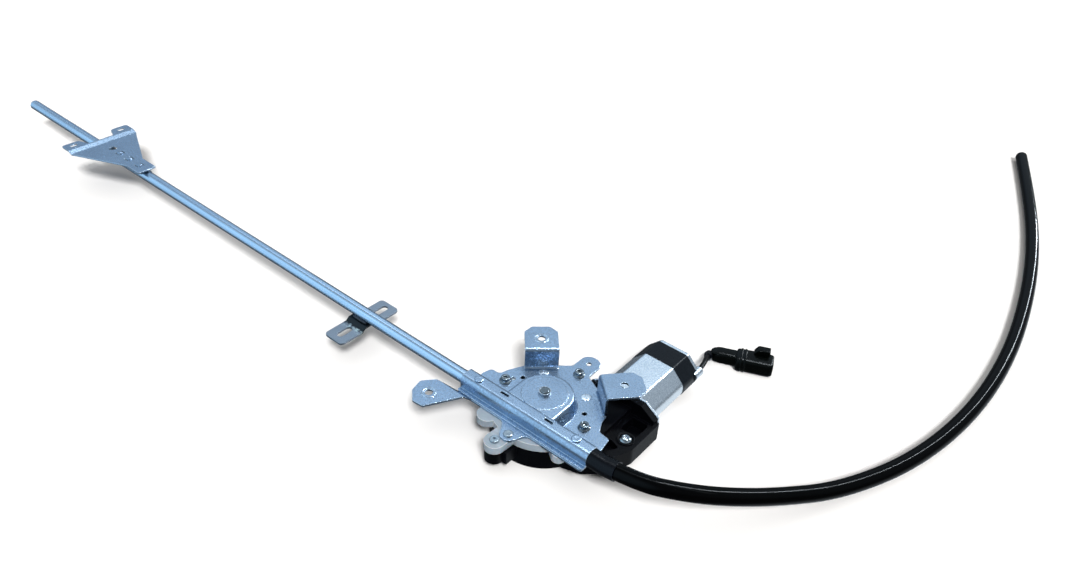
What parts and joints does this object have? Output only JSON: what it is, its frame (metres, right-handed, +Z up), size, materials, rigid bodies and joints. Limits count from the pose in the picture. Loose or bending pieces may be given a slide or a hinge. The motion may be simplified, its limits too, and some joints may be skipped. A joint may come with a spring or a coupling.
{
  "type": "linear actuator",
  "caption": "Flexible-rack linear actuator: a worm-geared motor pushes a wound rack through a slotted guide tube to slide a lift bracket, with a black storage hose.",
  "frame": {"origin": "middle of the actuator's own box, without the hose and the lead, on the surface that it lies on", "axes": "+X along the guide tube from its open tip towards the hose, +Y towards the motor, +Z up from the surface it lies on"},
  "size_m": [1.1085, 0.9039, 0.0503],
  "materials": {
    "zinc_sheet": "blue-passivated zinc plate on pressed steel, fine grain, bright bends",
    "zinc_tube": "blue-passivated zinc plate on drawn tube, glossy",
    "dull_steel": "dull grey zinc with a heat-darkened weld zone",
    "weld": "dark rippled weld bead",
    "zinc_fastener": "bright zinc-plated fastener",
    "nylon_white": "natural nylon, slightly translucent white",
    "case_black": "black glass-filled plastic, satin with moulding texture",
    "can_steel": "bright plated drawn steel can",
    "band_black": "black satin wrap",
    "connector_black": "black satin moulded connector",
    "hose_black": "glossy black hose with a faint blue reflection",
    "sleeve_black": "black rubber",
    "seal_rubber": "moulded rubber",
    "lead_sheath": "black lead sheath",
    "pin_metal": "tinned brass contact",
    "bronze": "sintered bronze bush",
    "gear_steel": "oiled machined steel",
    "wheel_nylon": "natural nylon gear",
    "magnet": "grey ferrite",
    "copper": "enamelled copper",
    "carbon": "pressed carbon",
    "spring_steel": "spring steel"
  },
  "bodies": {
    "drive_unit": {"base_plate": "zinc_sheet", "tube_clamp": "zinc_sheet", "clamp_rivets": "zinc_fastener", "tab_rivet": "zinc_fastener", "guide_tube": "zinc_tube", "mid_strap": "dull_steel", "strap_weld": "weld", "spacer": "nylon_white", "spacer_screw": "zinc_fastener", "gear_case": "case_black", "case_cover": "case_black", "cover_seal": "seal_rubber", "cover_screws": "zinc_fastener", "case_bushes": "bronze", "shaft_collar": "gear_steel", "plate_bolts": "zinc_fastener", "bolt_washers": "zinc_fastener", "pad_screw": "zinc_fastener", "motor_can": "can_steel", "flange_screws": "zinc_fastener", "can_band": "band_black", "end_cap": "can_steel", "lead_boss": "can_steel", "magnets": "magnet", "brush_holder": "case_black", "brushes": "carbon", "brush_springs": "spring_steel", "motor_bearings": "bronze", "rear_bearing": "bronze", "motor_lead": "lead_sheath", "connector_boot": "sleeve_black", "connector_plug": "connector_black", "connector_shroud": "connector_black", "connector_latch": "connector_black", "connector_pins": "pin_metal", "hose": "hose_black", "hose_sleeve": "sleeve_black", "rack_tail": "gear_steel"},
    "slider": {"lift_bracket": "zinc_sheet", "carriage": "zinc_sheet", "bracket_rivets": "zinc_fastener", "rack_shoe": "gear_steel", "flex_rack": "gear_steel"},
    "gear_train": {"output_shaft": "gear_steel", "drive_gear": "gear_steel", "gear_clip": "spring_steel", "worm_wheel": "wheel_nylon", "damper": "seal_rubber"},
    "armature": {"armature_shaft": "gear_steel", "worm": "gear_steel", "armature_core": "magnet", "windings": "copper", "commutator": "copper"}
  },
  "joints": [
    {"name": "armature_spin", "type": "hinge", "parent": "drive_unit", "child": "armature", "pos_m": [0.41625, 0.00325, 0.0182], "axis": [0, 1, 0], "range_deg": [-26460, 87590]},
    {"name": "output_spin", "type": "hinge", "parent": "drive_unit", "child": "gear_train", "pos_m": [0.37225, -0.03108, 0.036], "axis": [0, 0, 1], "range_deg": [-364, 1202]},
    {"name": "bracket_slide", "type": "slide", "parent": "drive_unit", "child": "slider", "axis": [1, 0, 0], "range_m": [-0.1455, 0.4805], "deforming": ["flex_rack"]}
  ],
  "couplings": [
    {"joint": "output_spin", "follows": "armature_spin", "ratio": 0.013699},
    {"joint": "bracket_slide", "follows": "armature_spin", "m_per_rad": 0.00031395}
  ]
}
